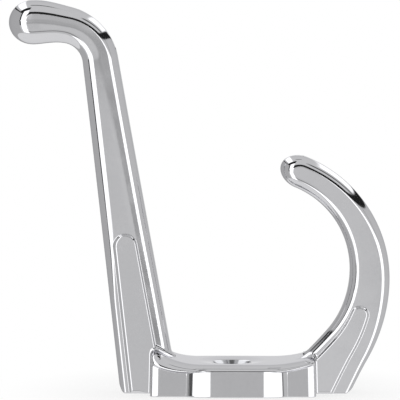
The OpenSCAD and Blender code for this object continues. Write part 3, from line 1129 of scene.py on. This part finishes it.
@dataclass
class Studio:
    """White table and backdrop, soft light, and the camera at the photo's angle.

    Lengths are in millimetres and angles in degrees, but for the camera's clipping in metres.
    """

    camera_x: float = -636.8
    camera_z: float = -0.1
    camera_p: float = 87.26
    camera_yaw: float = -0.728
    camera_pitch: float = 3.518
    focal_mm: float = 229.99
    sensor_mm: float = 36.0
    clip_m: tuple[float, float] = (0.01, 100.0)
    table_gap: float = 0.05
    table_half: float = 150.0
    paper: str = "#f4f4f4"
    # the hook's shadow on the table is full near the origin and gone farther out
    shadow_near: float = 28.0
    shadow_far: float = 62.0
    shadow_share: float = 0.25
    # where the backdrop stands, by its bearings
    backdrop_across: tuple[float, float] = (-1.17, 1.41)
    backdrop_fore: float = -2.3
    least_rise: float = 1e-4

    def camera(self) -> None:
        """Makes the camera, whose picture has the wall's outward side at its top."""
        data = bpy.data.cameras.new("camera")
        data.lens, data.sensor_width = self.focal_mm, self.sensor_mm
        data.clip_start, data.clip_end = self.clip_m
        item = bpy.data.objects.new("camera", data)
        yaw, pitch = math.radians(self.camera_yaw), math.radians(self.camera_pitch)
        view = Vector((math.cos(pitch) * math.cos(yaw), math.sin(pitch),
                       -math.cos(pitch) * math.sin(yaw)))
        right = Vector((-math.sin(yaw), 0.0, -math.cos(yaw)))
        turn = np.array([right, right.cross(view), -view]).T
        item.rotation_mode = "QUATERNION"
        item.location = Vector((self.camera_x, -self.camera_p, self.camera_z)) * MM
        item.rotation_quaternion = Matrix(turn.tolist()).to_quaternion()
        bpy.context.scene.collection.objects.link(item)
        bpy.context.scene.camera = item

    def bearings(self, tree: bpy.types.NodeTree) -> dict[Any, Any]:
        """Works out where a ray of the world's light comes from.

        Args:
            tree: The world's node tree.

        Returns:
            The socket of each bearing, and of the steps on the way there.
        """
        ray = add_node(tree, "TexCoord").outputs["Generated"]
        axes = add_node(tree, "SeparateXYZ", {0: ray}).outputs
        sockets: dict[Any, Any] = {name: axes[name] for name in "XYZ"}
        steps = (("towards", "MULTIPLY", "X", -1.0),
                 ("right", "MULTIPLY", "Z", -1.0),
                 ("rise", "MULTIPLY", "Y", -1.0),
                 ("lifted", "MAXIMUM", "rise", self.least_rise),
                 ("angle", "ARCTAN2", "right", "towards"),
                 ("tilt", "ARCSINE", "rise"),
                 (Bearing.TURN, "DEGREES", "angle"),
                 (Bearing.LIFT, "DEGREES", "tilt"),
                 (Bearing.ACROSS, "DIVIDE", "right", "lifted"),
                 (Bearing.FORE, "DIVIDE", "towards", "lifted"))
        for result, operation, *values in steps:
            given = {i: sockets.get(value, value) for i, value in enumerate(values)}
            sockets[result] = add_node(tree, "Math", given, operation=operation).outputs[0]
        return sockets

    def mask(self, tree: bpy.types.NodeTree, places: Mapping[Any, Any], limits: Limits) -> Any:
        """Share that is 1 between limits and 0 beyond them, with soft edges.

        Args:
            tree: The world's node tree.
            places: The bearings' sockets.
            limits: From where to where, by bearing.

        Returns:
            The share's socket, or 1 without limits.
        """
        share: Any = 1.0
        for bearing, ends in limits.items():
            for end, start in zip(ends, (0.0, 1.0)):
                if math.isinf(end):
                    continue
                soft = add_node(tree, "MapRange",
                                {"Value": places[bearing], "From Min": end - bearing.value,
                                 "From Max": end + bearing.value, "To Min": start,
                                 "To Max": 1.0 - start}, interpolation_type="SMOOTHSTEP")
                share = add_node(tree, "Math", {0: share, 1: soft.outputs["Result"]},
                                 operation="MULTIPLY").outputs[0]
        return share

    def world(self) -> None:
        """Lights the hook from all round. The camera sees a plain white background instead.

        Metal sees that white too where the backdrop stands, behind and above the hook.
        """
        world = bpy.data.worlds.new("studio")
        tree = empty_tree(world)
        places = self.bearings(tree)
        strength: Any = 0.0
        for glow in studio_glows().values():
            share = self.mask(tree, places, glow.limits)
            strength = add_node(tree, "Mix", {"Factor": share, VALUE_A: strength,
                                              VALUE_B: glow.strength},
                                data_type="FLOAT").outputs[0]
        backdrop = self.mask(tree, places, {Bearing.ACROSS: self.backdrop_across,
                                            Bearing.FORE: (-FAR, self.backdrop_fore),
                                            Bearing.LIFT: (0.0, FAR)})
        path = add_node(tree, "LightPath").outputs
        white = path["Is Glossy Ray"]
        for operation, other in (("MAXIMUM", path["Is Transmission Ray"]), ("MULTIPLY", backdrop),
                                 ("MAXIMUM", path["Is Camera Ray"])):
            white = add_node(tree, "Math", {0: white, 1: other}, operation=operation).outputs[0]
        shown = add_node(tree, "Mix", {"Factor": white, VALUE_A: strength, VALUE_B: 1.0},
                         data_type="FLOAT")
        light = add_node(tree, "Background", {"Color": linear("#ffffff"),
                                              "Strength": shown.outputs[0]})
        add_node(tree, "OutputWorld", {"Surface": light.outputs[0]})
        bpy.context.scene.world = world

    def table(self) -> None:
        """Lays the white surface on which the hook's mounting face rests.

        It holds the hook's shadow near it and is plain white farther out. Metal looks through it
        at the studio's own table top, and so does a camera from below.
        """
        half, y = self.table_half * MM, self.table_gap * MM
        mesh = bpy.data.meshes.new("table")
        mesh.from_pydata([(-half, y, -half), (half, y, -half), (half, y, half), (-half, y, half)],
                         [], [(0, 1, 2, 3)])
        material = bpy.data.materials.new("table_white_paper")
        tree = empty_tree(material)
        place = add_node(tree, "TexCoord").outputs["Object"]
        out = add_node(tree, "VectorMath", {0: place}, operation="LENGTH")
        plain = add_node(tree, "MapRange", {
            "Value": out.outputs["Value"], "From Min": self.shadow_near * MM,
            "From Max": self.shadow_far * MM, "To Min": 1.0 - self.shadow_share, "To Max": 1.0},
            interpolation_type="SMOOTHSTEP")
        matt = add_node(tree, "BsdfDiffuse", {"Color": linear(self.paper)})
        glow = add_node(tree, "Emission", {"Color": linear("#ffffff"), "Strength": 1.0})
        under = add_node(tree, "NewGeometry").outputs["Backfacing"]
        mirrored = add_node(tree, "LightPath").outputs["Is Glossy Ray"]
        through = add_node(tree, "Math", {0: under, 1: mirrored}, operation="MAXIMUM")
        clear = add_node(tree, "BsdfTransparent")
        shader = matt
        for share, other in ((plain.outputs["Result"], glow), (through.outputs[0], clear)):
            shader = add_node(tree, "MixShader", {0: share, 1: shader.outputs[0],
                                                  2: other.outputs[0]})
        add_node(tree, "OutputMaterial", {"Surface": shader.outputs[0]})
        mesh.materials.append(material)
        item = bpy.data.objects.new("table", mesh)
        bpy.context.scene.collection.objects.link(item)


# ---- making it


def main() -> None:
    """Builds the hook and the studio."""
    logging.basicConfig(level=logging.INFO, format="%(message)s")
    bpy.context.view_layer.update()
    bpy.context.scene.view_settings.view_transform = "Standard"
    studio = Studio()
    studio.camera()
    studio.world()
    studio.table()
    hook = Casting().make(ChromePlate())
    log.info("%s: %d points, %d triangles", hook.name, len(hook.data.vertices),
             len(hook.data.polygons))


if __name__ == "__main__":
    main()
